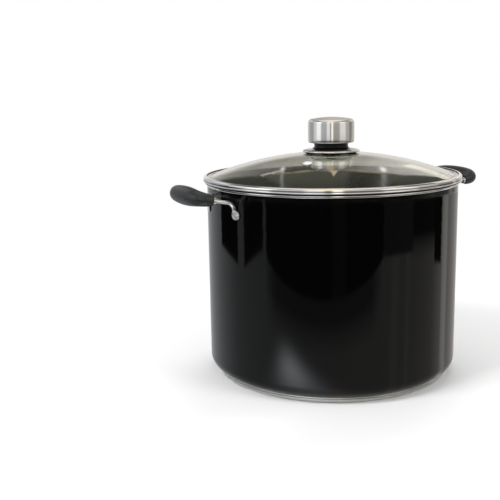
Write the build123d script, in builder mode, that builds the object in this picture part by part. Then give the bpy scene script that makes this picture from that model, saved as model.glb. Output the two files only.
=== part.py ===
from build123d import *
import os
from math import asin, cos, degrees, pi, radians, sin, sqrt, tan

# A tall coated steel pot with a loose glass lid, two wire handles and a jar rack inside.
# Millimetres, +Z up. The pot's axis is Z, its base stands on Z = 0 and the handles lie on +X and -X.

# Pot shell
pot_diameter = 310.0
pot_height = 239.5
pot_wall = 1.0
corner_radius = 15.0
rim_height = 3.8
rim_proud = 1.2

# Base
base_inset = 10.0
base_core_thickness = 5.2
base_cap_thickness = 0.8
base_cap_corner = 2.5
core_edge_gap = 0.6

# Handle wire and its flattened feet, whose oval is lofted through the stations, in degrees round it
wire_diameter = 5.0
foot_spread = 76.0
foot_drop = 28.2
foot_width = 13.0
foot_height = 10.0
foot_thickness = 2.2
foot_stations = (0, -25, -50, -75)
leg_drop = 14.2
leg_tilt = 11.0
leg_bend_radius = 9.5
leg_straight = 0.5
bow_reach = 41.5
bow_radius = 16.0

# Handle grips and the collars at their ends
grip_tail = 1.3
grip_end_diameter = 11.6
grip_width = 21.6
grip_depth = 22.0
grip_edge = 1.5
grip_sections = 11
grip_fullness = 0.8
ferrule_length = 3.0
ferrule_diameter = 8.4

# Lid glass
glass_thickness = 4.0
glass_flat = 7.3
dome_rise = 27.4
glass_bore = 10.0

# Lid band
band_overhang = 3.7
band_side = 2.4
band_step = 1.3
band_step_width = 3.0
band_floor = 1.5
band_lip = 0.7
band_lip_width = 7.0
band_round = 1.0
groove_width = 1.6
groove_depth = 0.6
skirt_gap = 0.8
skirt_depth = 4.8
skirt_thickness = 0.8

# Steam vent
vent_distance = 78.5
vent_angle = 217.6
vent_bore = 4.4
vent_wall = 1.2
vent_flange = 11.2
vent_crown = 1.0

# Knob, from the glass up
gasket_diameter = 62.0
gasket_thickness = 0.9
flange_diameter = 70.8
flange_rise = 4.1
flange_lip = 2.4
lip_thickness = 0.9
dish_diameter = 60.0
dish_floor = 0.9
neck_foot_diameter = 47.0
neck_waist_diameter = 41.6
neck_height = 8.5
spigot_diameter = 19.0
cap_diameter = 57.4
cap_bulge = 0.3
cap_height = 30.2
cap_curl = 2.5
cap_shoulder = 2.0
cap_dome = 85.0
cap_wall = 0.8
insert_diameter = 10.0
insert_length = 18.0

# Knob fixing, from the glass down
screw_diameter = 6.0
screw_head_diameter = 12.5
screw_head_height = 3.6
washer_diameter = 22.0
washer_thickness = 1.2
lower_gasket_diameter = 24.0
lower_gasket_thickness = 1.5

# Jar rack
rack_clearance = 14.0
rack_height = 18.0
rack_wire = 5.0
deck_wire = 3.6
deck_pitch = 27.0
stay_spread = 110.0
leg_wire = 4.0
leg_count = 4
leg_width = 36.0
leg_corner = 7.0

# Clearances: between pieces that lift apart, between fitted pieces, and at welded or bonded faces
loose_gap = 0.3
fit_gap = 0.2
weld_gap = 0.05

os.makedirs("parts", exist_ok=True)


def write(piece, name):
    piece.label = name
    export_step(piece, f"parts/{name}.step")


# Pot shell: flat bottom, rounded corner, straight wall and a rolled rim
pot_radius = pot_diameter / 2
pot_bore = pot_radius - pot_wall
flat_radius = pot_radius - corner_radius
shell_bottom = base_cap_thickness + base_core_thickness
pot_floor = shell_bottom + pot_wall
corner_top = shell_bottom + corner_radius
rim_radius = pot_radius + rim_proud
rim_round = (rim_radius - pot_bore) / 2
rim_low = pot_height - rim_height
with BuildPart() as pot_shell:
    with BuildSketch(Plane.XZ):
        with BuildLine():
            Line((0, shell_bottom), (flat_radius, shell_bottom))
            CenterArc((flat_radius, corner_top), corner_radius, -90, 90)
            Polyline(
                (pot_radius, corner_top),
                (pot_radius, rim_low),
                (rim_radius, rim_low + rim_proud),
                (rim_radius, pot_height - rim_round),
            )
            CenterArc((rim_radius - rim_round, pot_height - rim_round), rim_round, 0, 180)
            Line((pot_bore, pot_height - rim_round), (pot_bore, corner_top))
            CenterArc((flat_radius, corner_top), corner_radius - pot_wall, 0, -90)
            Polyline((flat_radius, pot_floor), (0, pot_floor), (0, shell_bottom))
        make_face()
    revolve(axis=Axis.Z)
write(pot_shell.part, "pot_shell")

# Base cap: a shallow pressed dish whose wall ends against the shell's corner
base_radius = pot_radius - base_inset
base_bore = base_radius - base_cap_thickness
base_flat = base_radius - base_cap_corner
corner_rise = corner_radius - sqrt(corner_radius**2 - (base_bore - flat_radius) ** 2)
base_rim = shell_bottom + corner_rise - weld_gap
with BuildPart() as base_cap:
    with BuildSketch(Plane.XZ):
        with BuildLine():
            Line((0, 0), (base_flat, 0))
            CenterArc((base_flat, base_cap_corner), base_cap_corner, -90, 90)
            Polyline(
                (base_radius, base_cap_corner),
                (base_radius, base_rim),
                (base_bore, base_rim),
                (base_bore, base_cap_corner),
            )
            CenterArc((base_flat, base_cap_corner), base_cap_corner - base_cap_thickness, 0, -90)
            Polyline((base_flat, base_cap_thickness), (0, base_cap_thickness), (0, 0))
        make_face()
    revolve(axis=Axis.Z)
write(base_cap.part, "base_cap")

# Base core: the aluminium disc between the cap and the shell
with BuildPart() as base_core:
    with BuildSketch(Plane.XY.offset(base_cap_thickness)):
        Circle(base_bore - core_edge_gap)
    extrude(amount=base_core_thickness)
    chamfer(base_core.edges().sort_by(Axis.Z)[0], base_cap_corner - base_cap_thickness)
write(base_core.part, "base_core")

# Handle route: from the middle of the bow, back along a leg and down to a foot on the pot wall
wire_radius = wire_diameter / 2
wall_face = pot_radius + weld_gap
foot_angle = asin(foot_spread / 2 / (wall_face + wire_radius))
leg_x = (wall_face + wire_radius) * cos(foot_angle)
leg_y = foot_spread / 2
leg_z = pot_height - leg_drop
bow_x = pot_radius + bow_reach
grip_x = bow_x - (bow_radius + grip_tail) * cos(radians(leg_tilt))
foot_z = pot_height - foot_drop
foot_top = leg_z - leg_bend_radius * tan(radians(90 - leg_tilt) / 2) - leg_straight


def leg_height(x):
    return leg_z + (x - leg_x) * tan(radians(leg_tilt))


# Handle rod: one bent wire whose ends are flattened into oval feet, spot-welded to the wall
foot_along = (-sin(foot_angle), cos(foot_angle), 0)
foot_sections = [(foot_top, wire_diameter, wire_diameter)]
for turn in foot_stations:
    foot_level = foot_z + foot_height / 2 * sin(radians(turn))
    foot_sections.append((foot_level, foot_width * cos(radians(turn)), foot_thickness))
with BuildPart() as handle_rod_right:
    with BuildLine() as half_route:
        FilletPolyline(
            (bow_x, 0, leg_height(bow_x)),
            (bow_x, leg_y, leg_height(bow_x)),
            (leg_x, leg_y, leg_z),
            (leg_x, leg_y, foot_top),
            radius=[bow_radius, leg_bend_radius],
        )
    with BuildSketch(Plane(origin=half_route.line @ 0, z_dir=half_route.line % 0)):
        Circle(wire_radius)
    sweep(path=half_route.line)
    for level, width, thickness in foot_sections:
        reach = wall_face + thickness / 2
        middle = (reach * cos(foot_angle), reach * sin(foot_angle), level)
        with BuildSketch(Plane(origin=middle, x_dir=foot_along, z_dir=(0, 0, -1))):
            Ellipse(width / 2, thickness / 2)
    loft()
    mirror(about=Plane.XZ)
write(handle_rod_right.part, "handle_rod_right")

# Handle grip: moulded over the bow, thickest in the middle and thinner towards both legs
bow_up = (-sin(radians(leg_tilt)), 0, cos(radians(leg_tilt)))
with BuildPart() as handle_grip_right:
    with BuildLine() as bow:
        FilletPolyline(
            (grip_x, -leg_y, leg_height(grip_x)),
            (bow_x, -leg_y, leg_height(bow_x)),
            (bow_x, leg_y, leg_height(bow_x)),
            (grip_x, leg_y, leg_height(grip_x)),
            radius=bow_radius,
        )
    for step in range(grip_sections):
        along = step / (grip_sections - 1)
        swell = sin(pi * along) ** grip_fullness
        depth = grip_end_diameter + (grip_depth - grip_end_diameter) * swell
        width = grip_end_diameter + (grip_width - grip_end_diameter) * swell
        with BuildSketch(Plane(origin=bow.line @ along, x_dir=bow_up, z_dir=bow.line % along)):
            Ellipse(depth / 2, width / 2)
    loft()
    fillet(handle_grip_right.faces().filter_by(GeomType.PLANE).edges(), grip_edge)
    with BuildSketch(Plane(origin=bow.line @ 0, z_dir=bow.line % 0)):
        Circle(wire_radius + fit_gap)
    sweep(path=bow.line, mode=Mode.SUBTRACT)
write(handle_grip_right.part, "handle_grip_right")

# Grip ferrules: plain steel collars on the wire, against both ends of the grip
leg_inward = (-cos(radians(leg_tilt)), 0, -sin(radians(leg_tilt)))
with BuildPart() as grip_ferrules_right:
    for hand in (1, -1):
        with BuildSketch(Plane(origin=(grip_x, hand * leg_y, leg_height(grip_x)), z_dir=leg_inward)):
            Circle(ferrule_diameter / 2)
            Circle(wire_radius + fit_gap, mode=Mode.SUBTRACT)
    extrude(amount=ferrule_length)
write(grip_ferrules_right.part, "grip_ferrules_right")

# The left handle is the right one mirrored
with BuildPart() as handle_rod_left:
    mirror(handle_rod_right.part, about=Plane.YZ)
write(handle_rod_left.part, "handle_rod_left")
with BuildPart() as handle_grip_left:
    mirror(handle_grip_right.part, about=Plane.YZ)
write(handle_grip_left.part, "handle_grip_left")
with BuildPart() as grip_ferrules_left:
    mirror(grip_ferrules_right.part, about=Plane.YZ)
write(grip_ferrules_left.part, "grip_ferrules_left")

# Lid levels, from the rim of the pot up, and the two spheres of the dome
lid_seat = pot_height + loose_gap
band_low = lid_seat + band_step
glass_low = band_low + band_floor
glass_edge = glass_low + glass_thickness
glass_top = glass_edge + dome_rise
band_top = glass_edge + fit_gap + band_lip
band_radius = rim_radius + band_overhang
glass_radius = band_radius - band_side - fit_gap
dome_chord = glass_radius - glass_flat
dome_radius = (dome_chord**2 + dome_rise**2) / (2 * dome_rise)
inside_radius = dome_radius - glass_thickness
dome_centre = glass_top - dome_radius


def dome_angle(radius, distance):
    return 90 - degrees(asin(distance / radius))


def dome_height(radius, distance):
    return dome_centre + sqrt(radius**2 - distance**2)


# Place of the steam vent: on the dome, square to the glass
vent_tilt = asin(vent_distance / dome_radius)
vent_up = Vector(sin(vent_tilt), 0, cos(vent_tilt)).rotate(Axis.Z, vent_angle)
vent_top = Plane(origin=Vector(0, 0, dome_centre) + vent_up * dome_radius, z_dir=vent_up)
vent_radius = vent_bore / 2
vent_tube = vent_radius + vent_wall

# Lid glass: a shallow dome with a flat edge, bored for the knob and the vent
bore_radius = glass_bore / 2
inside_chord = sqrt(inside_radius**2 - (glass_low - dome_centre) ** 2)
outside_start = dome_angle(dome_radius, dome_chord)
outside_end = dome_angle(dome_radius, bore_radius)
inside_start = dome_angle(inside_radius, bore_radius)
inside_end = dome_angle(inside_radius, inside_chord)
with BuildPart() as lid_glass:
    with BuildSketch(Plane.XZ):
        with BuildLine():
            CenterArc((0, dome_centre), dome_radius, outside_start, outside_end - outside_start)
            Line(
                (bore_radius, dome_height(dome_radius, bore_radius)),
                (bore_radius, dome_height(inside_radius, bore_radius)),
            )
            CenterArc((0, dome_centre), inside_radius, inside_start, inside_end - inside_start)
            Polyline(
                (inside_chord, glass_low),
                (glass_radius, glass_low),
                (glass_radius, glass_edge),
                (dome_chord, glass_edge),
            )
        make_face()
    revolve(axis=Axis.Z)
    with BuildSketch(vent_top):
        Circle(vent_tube + fit_gap)
    extrude(amount=2 * glass_thickness, both=True, mode=Mode.SUBTRACT)
write(lid_glass.part, "lid_glass")

# Lid band: the formed steel rim that grips the glass, rests on the pot and drops inside its mouth
skirt_radius = pot_bore - skirt_gap
skirt_bore = skirt_radius - skirt_thickness
skirt_low = lid_seat - skirt_depth
slot_radius = glass_radius + fit_gap
slot_low = glass_low - weld_gap
slot_high = glass_edge + fit_gap
lip_bore = slot_radius - band_lip_width
step_radius = band_radius - band_step_width
groove_middle = (band_low + band_top) / 2
groove_high = groove_middle + groove_width / 2
groove_low = groove_middle - groove_width / 2
with BuildPart() as lid_band:
    with BuildSketch(Plane.XZ):
        with BuildLine():
            Line((lip_bore, band_top), (band_radius - band_round, band_top))
            CenterArc((band_radius - band_round, band_top - band_round), band_round, 90, -90)
            Line((band_radius, band_top - band_round), (band_radius, groove_high))
            ThreePointArc(
                (band_radius, groove_high),
                (band_radius - groove_depth, groove_middle),
                (band_radius, groove_low),
            )
            Line((band_radius, groove_low), (band_radius, band_low + band_round))
            CenterArc((band_radius - band_round, band_low + band_round), band_round, 0, -90)
            Polyline(
                (band_radius - band_round, band_low),
                (step_radius, band_low),
                (step_radius - band_step, lid_seat),
                (skirt_radius, lid_seat),
                (skirt_radius, skirt_low),
                (skirt_bore, skirt_low),
                (skirt_bore, slot_low),
                (slot_radius, slot_low),
                (slot_radius, slot_high),
                (lip_bore, slot_high),
                (lip_bore, band_top),
            )
        make_face()
    revolve(axis=Axis.Z)
write(lid_band.part, "lid_band")

# Vent eyelet: a steel tube rolled over both faces of the glass
vent_rim = vent_flange / 2
vent_ridge = (vent_rim + vent_radius) / 2
vent_under = -glass_thickness - weld_gap
with BuildPart() as vent_eyelet:
    with BuildSketch(Plane(origin=vent_top.origin, x_dir=vent_top.x_dir, z_dir=-vent_top.y_dir)):
        with BuildLine():
            ThreePointArc((vent_rim, weld_gap), (vent_ridge, vent_crown), (vent_radius, weld_gap))
            Line((vent_radius, weld_gap), (vent_radius, vent_under))
            ThreePointArc(
                (vent_radius, vent_under), (vent_ridge, vent_under - vent_crown), (vent_rim, vent_under)
            )
            Polyline(
                (vent_rim, vent_under),
                (vent_tube, vent_under),
                (vent_tube, weld_gap),
                (vent_rim, weld_gap),
            )
        make_face()
    revolve(axis=Axis(vent_top.origin, vent_up))
write(vent_eyelet.part, "vent_eyelet")

# Knob levels, from the top of the glass up
flange_radius = flange_diameter / 2
gasket_radius = gasket_diameter / 2
gasket_seat = dome_radius + weld_gap
gasket_sphere = gasket_seat + gasket_thickness
gasket_top = dome_centre + gasket_sphere
flange_seat = gasket_sphere + weld_gap
flange_low = dome_height(flange_seat, gasket_radius)
flange_top = flange_low + flange_rise
neck_foot = flange_top + weld_gap
cap_low = neck_foot + neck_height
cap_top = cap_low + cap_height
neck_foot_radius = neck_foot_diameter / 2
spigot_radius = spigot_diameter / 2
insert_radius = insert_diameter / 2
screw_radius = screw_diameter / 2
screw_hole = screw_radius + fit_gap

# Upper gasket: a silicone disc, dished to suit the dome
seat_start = dome_angle(gasket_seat, gasket_radius)
seat_end = dome_angle(gasket_seat, screw_hole)
crest_start = dome_angle(gasket_sphere, screw_hole)
crest_end = dome_angle(gasket_sphere, gasket_radius)
with BuildPart() as knob_gasket_upper:
    with BuildSketch(Plane.XZ):
        with BuildLine():
            CenterArc((0, dome_centre), gasket_seat, seat_start, seat_end - seat_start)
            Line(
                (screw_hole, dome_height(gasket_seat, screw_hole)),
                (screw_hole, dome_height(gasket_sphere, screw_hole)),
            )
            CenterArc((0, dome_centre), gasket_sphere, crest_start, crest_end - crest_start)
            Line(
                (gasket_radius, dome_height(gasket_sphere, gasket_radius)),
                (gasket_radius, dome_height(gasket_seat, gasket_radius)),
            )
        make_face()
    revolve(axis=Axis.Z)
write(knob_gasket_upper.part, "knob_gasket_upper")

# Knob flange: a turned steel saucer between the neck of the knob and the gasket, with a raised lip
flange_bore = spigot_radius + fit_gap
dish_radius = dish_diameter / 2
lip_radius = flange_radius - lip_thickness / 2
lip_top = flange_low + flange_lip
lip_low = lip_top - lip_thickness
under_start = dome_angle(flange_seat, gasket_radius)
under_end = dome_angle(flange_seat, flange_bore)
with BuildPart() as knob_flange:
    with BuildSketch(Plane.XZ):
        with BuildLine():
            Line((flange_bore, flange_top), (neck_foot_radius, flange_top))
            ThreePointArc(
                (neck_foot_radius, flange_top), (dish_radius, flange_low + dish_floor), (lip_radius, lip_top)
            )
            ThreePointArc(
                (lip_radius, lip_top), (flange_radius, (lip_top + lip_low) / 2), (lip_radius, lip_low)
            )
            Line((lip_radius, lip_low), (gasket_radius, flange_low))
            CenterArc((0, dome_centre), flange_seat, under_start, under_end - under_start)
            Line((flange_bore, dome_height(flange_seat, flange_bore)), (flange_bore, flange_top))
        make_face()
    revolve(axis=Axis.Z)
write(knob_flange.part, "knob_flange")

# Knob cap: a drawn steel cup with slightly bulged sides, round shoulders and its lower edge curled in
cap_radius = cap_diameter / 2
side_radius = cap_radius - cap_bulge
side_low = cap_low + cap_curl
shoulder_radius = side_radius - cap_shoulder
shoulder_reach = cap_dome - cap_shoulder
crown_turn = degrees(asin(shoulder_radius / shoulder_reach))
crown_centre = cap_top - cap_dome
side_top = crown_centre + shoulder_reach * cos(radians(crown_turn))
side_middle = (side_low + side_top) / 2
mouth_radius = side_radius - cap_curl
with BuildPart() as knob_cap:
    with BuildSketch(Plane.XZ):
        with BuildLine():
            CenterArc((0, crown_centre), cap_dome, 90, -crown_turn)
            CenterArc((shoulder_radius, side_top), cap_shoulder, 90 - crown_turn, crown_turn - 90)
            ThreePointArc((side_radius, side_top), (cap_radius, side_middle), (side_radius, side_low))
            CenterArc((mouth_radius, side_low), cap_curl, 0, -90)
            Line((mouth_radius, cap_low), (mouth_radius, cap_low + cap_wall))
            CenterArc((mouth_radius, side_low), cap_curl - cap_wall, -90, 90)
            ThreePointArc(
                (side_radius - cap_wall, side_low),
                (cap_radius - cap_wall, side_middle),
                (side_radius - cap_wall, side_top),
            )
            CenterArc((shoulder_radius, side_top), cap_shoulder - cap_wall, 0, 90 - crown_turn)
            CenterArc((0, crown_centre), cap_dome - cap_wall, 90 - crown_turn, crown_turn)
            Line((0, cap_top - cap_wall), (0, cap_top))
        make_face()
    revolve(axis=Axis.Z)
write(knob_cap.part, "knob_cap")

# Knob body: the moulding that fills the cap, with a waisted neck and a spigot through the flange
core_radius = side_radius - cap_wall - fit_gap
core_low = side_low + fit_gap
core_top = side_top
neck_top_radius = mouth_radius - fit_gap
pocket_radius = insert_radius + weld_gap
pocket_top = gasket_top + insert_length + fit_gap
with BuildPart() as knob_body:
    with BuildSketch(Plane.XZ):
        with BuildLine():
            Polyline(
                (neck_top_radius, cap_low),
                (neck_top_radius, core_low),
                (core_radius, core_low),
                (core_radius, core_top),
                (0, core_top),
                (0, pocket_top),
                (pocket_radius, pocket_top),
                (pocket_radius, gasket_top + weld_gap),
                (spigot_radius, gasket_top + weld_gap),
                (spigot_radius, neck_foot),
                (neck_foot_radius, neck_foot),
            )
            ThreePointArc(
                (neck_foot_radius, neck_foot),
                (neck_waist_diameter / 2, (neck_foot + cap_low) / 2),
                (neck_top_radius, cap_low),
            )
        make_face()
    revolve(axis=Axis.Z)
write(knob_body.part, "knob_body")

# Knob insert: a brass bush moulded into the body, for the screw
with BuildPart() as knob_insert:
    with BuildSketch(Plane.XY.offset(gasket_top + fit_gap)):
        Circle(insert_radius)
        Circle(screw_radius + weld_gap, mode=Mode.SUBTRACT)
    extrude(amount=insert_length - fit_gap)
write(knob_insert.part, "knob_insert")

# Lower gasket: a silicone washer under the glass, with a collar that lines the bore
lower_gasket_radius = lower_gasket_diameter / 2
lower_gasket_top = dome_height(inside_radius, lower_gasket_radius) - weld_gap
lower_gasket_low = lower_gasket_top - lower_gasket_thickness
with BuildPart() as knob_gasket_lower:
    with BuildSketch(Plane.XY.offset(lower_gasket_low)):
        Circle(lower_gasket_radius)
        Circle(screw_hole, mode=Mode.SUBTRACT)
    extrude(amount=lower_gasket_thickness)
    with BuildSketch(Plane.XY.offset(lower_gasket_top)):
        Circle(bore_radius - fit_gap)
        Circle(screw_hole, mode=Mode.SUBTRACT)
    extrude(amount=glass_thickness - fit_gap)
write(knob_gasket_lower.part, "knob_gasket_lower")

# Washer and screw: they clamp the knob to the glass from below
washer_low = lower_gasket_low - weld_gap - washer_thickness
with BuildPart() as knob_washer:
    with BuildSketch(Plane.XY.offset(washer_low)):
        Circle(washer_diameter / 2)
        Circle(screw_hole, mode=Mode.SUBTRACT)
    extrude(amount=washer_thickness)
write(knob_washer.part, "knob_washer")

head_top = washer_low - weld_gap
with BuildPart() as knob_screw:
    with BuildSketch(Plane.XY.offset(head_top)):
        Circle(screw_head_diameter / 2)
    extrude(amount=-screw_head_height)
    fillet(knob_screw.edges().sort_by(Axis.Z)[0], screw_head_height / 2)
    with BuildSketch(Plane.XY.offset(head_top)):
        Circle(screw_radius)
    extrude(amount=pocket_top - fit_gap - head_top)
write(knob_screw.part, "knob_screw")

# Rack levels: the legs stand on the pot's floor and the deck wires lie on the rim wire
rack_radius = pot_bore - rack_clearance - rack_wire / 2
rack_rim_z = pot_floor + loose_gap + rack_height
deck_z = rack_rim_z + rack_wire / 2 + deck_wire / 2 + weld_gap

# Rack rim: a welded ring of wire
with BuildPart() as rack_rim:
    with BuildSketch(Plane.XZ):
        with Locations((rack_radius, rack_rim_z)):
            Circle(rack_wire / 2)
    revolve(axis=Axis.Z)
write(rack_rim.part, "rack_rim")

# Rack deck: straight parallel wires welded across the top of the rim
deck_half = int((rack_radius - deck_wire) / deck_pitch)
with BuildPart() as rack_deck:
    for row in range(-deck_half, deck_half + 1):
        deck_y = row * deck_pitch
        half_length = sqrt(rack_radius**2 - deck_y**2)
        with BuildSketch(Plane.YZ.offset(-half_length)):
            with Locations((deck_y, deck_z)):
                Circle(deck_wire / 2)
        extrude(amount=2 * half_length)
write(rack_deck.part, "rack_deck")

# Rack stays: two wires under the deck, across its wires, from rim to rim
stay_x = stay_spread / 2
stay_reach = rack_radius - rack_wire / 2 - weld_gap
stay_half = sqrt(stay_reach**2 - (stay_x + rack_wire / 2) ** 2)
with BuildPart() as rack_stays:
    with BuildSketch(Plane.XZ.offset(-stay_half)):
        with Locations((-stay_x, rack_rim_z), (stay_x, rack_rim_z)):
            Circle(rack_wire / 2)
    extrude(amount=2 * stay_half)
write(rack_stays.part, "rack_stays")

# Rack legs: bent wire loops welded inside the rim
leg_radius = leg_wire / 2
leg_reach = rack_radius - rack_wire / 2 - leg_radius - weld_gap
leg_row = sqrt(leg_reach**2 - (leg_width / 2) ** 2)
leg_low = pot_floor + loose_gap + leg_radius
with BuildPart() as rack_leg:
    with BuildLine() as leg_route:
        FilletPolyline(
            (leg_row, -leg_width / 2, rack_rim_z),
            (leg_row, -leg_width / 2, leg_low),
            (leg_row, leg_width / 2, leg_low),
            (leg_row, leg_width / 2, rack_rim_z),
            radius=leg_corner,
        )
    with BuildSketch(Plane(origin=leg_route.line @ 0, z_dir=leg_route.line % 0)):
        Circle(leg_radius)
    sweep(path=leg_route.line)
with BuildPart() as rack_legs:
    with PolarLocations(0, leg_count, start_angle=180 / leg_count):
        add(rack_leg.part)
write(rack_legs.part, "rack_legs")
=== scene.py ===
import math

import bmesh
import bpy
from mathutils import Matrix, Vector


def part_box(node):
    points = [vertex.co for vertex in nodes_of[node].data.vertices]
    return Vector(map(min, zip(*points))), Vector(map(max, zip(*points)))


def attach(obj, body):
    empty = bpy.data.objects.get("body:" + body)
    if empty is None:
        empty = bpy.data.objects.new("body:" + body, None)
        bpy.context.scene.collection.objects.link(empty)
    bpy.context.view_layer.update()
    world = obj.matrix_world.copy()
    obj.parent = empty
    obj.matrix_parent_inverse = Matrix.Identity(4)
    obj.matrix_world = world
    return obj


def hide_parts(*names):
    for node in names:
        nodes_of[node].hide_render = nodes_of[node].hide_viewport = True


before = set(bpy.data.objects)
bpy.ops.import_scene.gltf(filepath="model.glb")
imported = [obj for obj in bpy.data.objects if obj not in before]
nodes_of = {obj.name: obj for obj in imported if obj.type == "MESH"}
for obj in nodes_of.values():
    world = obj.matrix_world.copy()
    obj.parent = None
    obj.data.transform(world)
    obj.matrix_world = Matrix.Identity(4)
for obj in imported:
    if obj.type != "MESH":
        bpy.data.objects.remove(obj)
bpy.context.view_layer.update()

mm = 0.001


# Pot shell: the tall pot, deep-drawn from stainless sheet with a rounded corner at the bottom.
# The outside is sprayed with black gloss enamel and baked; the inside and the rolled rim stay bare.
# It is turned here from one profile, that runs up the outside, over the rim and down the inside.
def arc(centre, radius, start, end, steps=8):
    """Points (radius, height) along an arc, in mm, from start to end in degrees."""
    turns = [math.radians(start + (end - start) * i / steps) for i in range(steps + 1)]
    return [(centre[0] + radius * math.cos(t), centre[1] + radius * math.sin(t)) for t in turns]


def add_node(tree, kind, links=(), **settings):
    """A node with its properties set, its inputs set by name or number, or linked from other sockets."""
    node = tree.nodes.new(kind)
    for name, value in settings.items():
        setattr(node, name, value)
    for socket, value in links:
        if isinstance(value, bpy.types.NodeSocket):
            tree.links.new(value, node.inputs[socket])
        else:
            node.inputs[socket].default_value = value
    return node


def new_group(name, kind, inputs, outputs):
    """A node group with its named sockets, given as (name, kind of socket) pairs."""
    tree = bpy.data.node_groups.new(name, kind)
    for way, sockets in (("INPUT", inputs), ("OUTPUT", outputs)):
        for label, socket in sockets:
            tree.interface.new_socket(label, in_out=way, socket_type="NodeSocket" + socket)
    return tree, tree.nodes.new("NodeGroupInput"), tree.nodes.new("NodeGroupOutput")


def end_tree(tree, shape, material, out):
    """The end of every geometry tree: instances made real, smooth shading and the material."""
    plain = add_node(tree, "GeometryNodeRealizeInstances", [("Geometry", shape)])
    smooth = add_node(tree, "GeometryNodeSetShadeSmooth", [("Geometry", plain.outputs[0])])
    painted = add_node(
        tree, "GeometryNodeSetMaterial", [("Geometry", smooth.outputs[0]), ("Material", material)]
    )
    tree.links.new(painted.outputs[0], out.inputs[0])


def reckon(tree, operation, *values):
    """A Math node's result."""
    return add_node(tree, "ShaderNodeMath", list(enumerate(values)), operation=operation).outputs[0]


def turning_tree():
    """Geometry Nodes: a profile of points, turned once round the Z axis and closed."""
    tree, given, out = new_group(
        "turned_on_axis", "GeometryNodeTree",
        [("Profile", "Geometry"), ("Segments", "Int"), ("Material", "Material")], [("Turned", "Geometry")],
    )
    profile, segments, material = given.outputs[0], given.outputs[1], given.outputs[2]
    count = add_node(tree, "GeometryNodeAttributeDomainSize", [("Geometry", profile)]).outputs["Point Count"]
    columns = reckon(tree, "ADD", segments, 1.0)
    grid = add_node(tree, "GeometryNodeMeshGrid", [("Vertices X", columns), ("Vertices Y", count)])
    index = tree.nodes.new("GeometryNodeInputIndex").outputs[0]
    row = reckon(tree, "MODULO", index, count)
    column = reckon(tree, "FLOOR", reckon(tree, "DIVIDE", index, count))
    turn = reckon(tree, "MULTIPLY", reckon(tree, "DIVIDE", column, segments), math.tau)
    place = tree.nodes.new("GeometryNodeInputPosition").outputs[0]
    sample = add_node(tree, "GeometryNodeSampleIndex", data_type="FLOAT_VECTOR", domain="POINT")
    tree.links.new(profile, sample.inputs["Geometry"])
    tree.links.new(place, sample.inputs["Value"])
    tree.links.new(row, sample.inputs["Index"])
    spin = add_node(
        tree, "ShaderNodeVectorRotate", [("Vector", sample.outputs[0]), ("Angle", turn)],
        rotation_type="Z_AXIS",
    )
    moved = add_node(
        tree, "GeometryNodeSetPosition", [("Geometry", grid.outputs["Mesh"]), ("Position", spin.outputs[0])]
    )
    joined = add_node(
        tree, "GeometryNodeMergeByDistance", [("Geometry", moved.outputs[0]), ("Distance", 0.001 * mm)]
    )
    end_tree(tree, joined.outputs[0], material, out)
    return tree


def run_tree(name, mesh, tree, inputs):
    """A mesh object with the tree's result as its own plain mesh."""
    piece = bpy.data.objects.new(name, mesh)
    bpy.context.scene.collection.objects.link(piece)
    modifier = piece.modifiers.new("nodes", "NODES")
    modifier.node_group = tree
    for item in tree.interface.items_tree:
        if item.in_out == "INPUT" and item.name in inputs:
            modifier[item.identifier] = inputs[item.name]
    view = bpy.context.evaluated_depsgraph_get()
    made = bpy.data.meshes.new_from_object(piece.evaluated_get(view), depsgraph=view)
    piece.modifiers.remove(modifier)
    piece.data = made
    made.name = name
    made.materials.clear()
    made.materials.append(inputs["Material"])
    made.polygons.foreach_set("material_index", [0] * len(made.polygons))
    bpy.data.meshes.remove(mesh)
    return piece


turned_on_axis = turning_tree()


def held(profile, long_run=4.0, hold=0.3):
    """The profile with a point near each end of its long straight runs, so that they shade as straight."""
    points = [profile[0]]
    for (near, low), (far, high) in zip(profile, profile[1:]):
        run = math.hypot(far - near, high - low)
        if run > long_run:
            shares = (hold / run, 1 - hold / run)
            points += [(near + (far - near) * share, low + (high - low) * share) for share in shares]
        points.append((far, high))
    return points


def face_outward(piece, crease):
    """Faces turned outward, and edges kept sharp that turn by more than the crease, in degrees."""
    shape = bmesh.new()
    shape.from_mesh(piece.data)
    bmesh.ops.recalc_face_normals(shape, faces=shape.faces)
    shape.to_mesh(piece.data)
    shape.free()
    piece.data.set_sharp_from_angle(angle=math.radians(crease))


def turned(name, profile, material, segments):
    """A closed piece turned from a profile of (radius, height) points in mm."""
    mesh = bpy.data.meshes.new(name)
    points = [(radius * mm, 0.0, height * mm) for radius, height in held(profile)]
    mesh.from_pydata(points, [(i, i + 1) for i in range(len(points) - 1)], [])
    piece = run_tree(name, mesh, turned_on_axis, {"Segments": segments, "Material": material})
    face_outward(piece, crease=32.0)
    return piece


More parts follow.
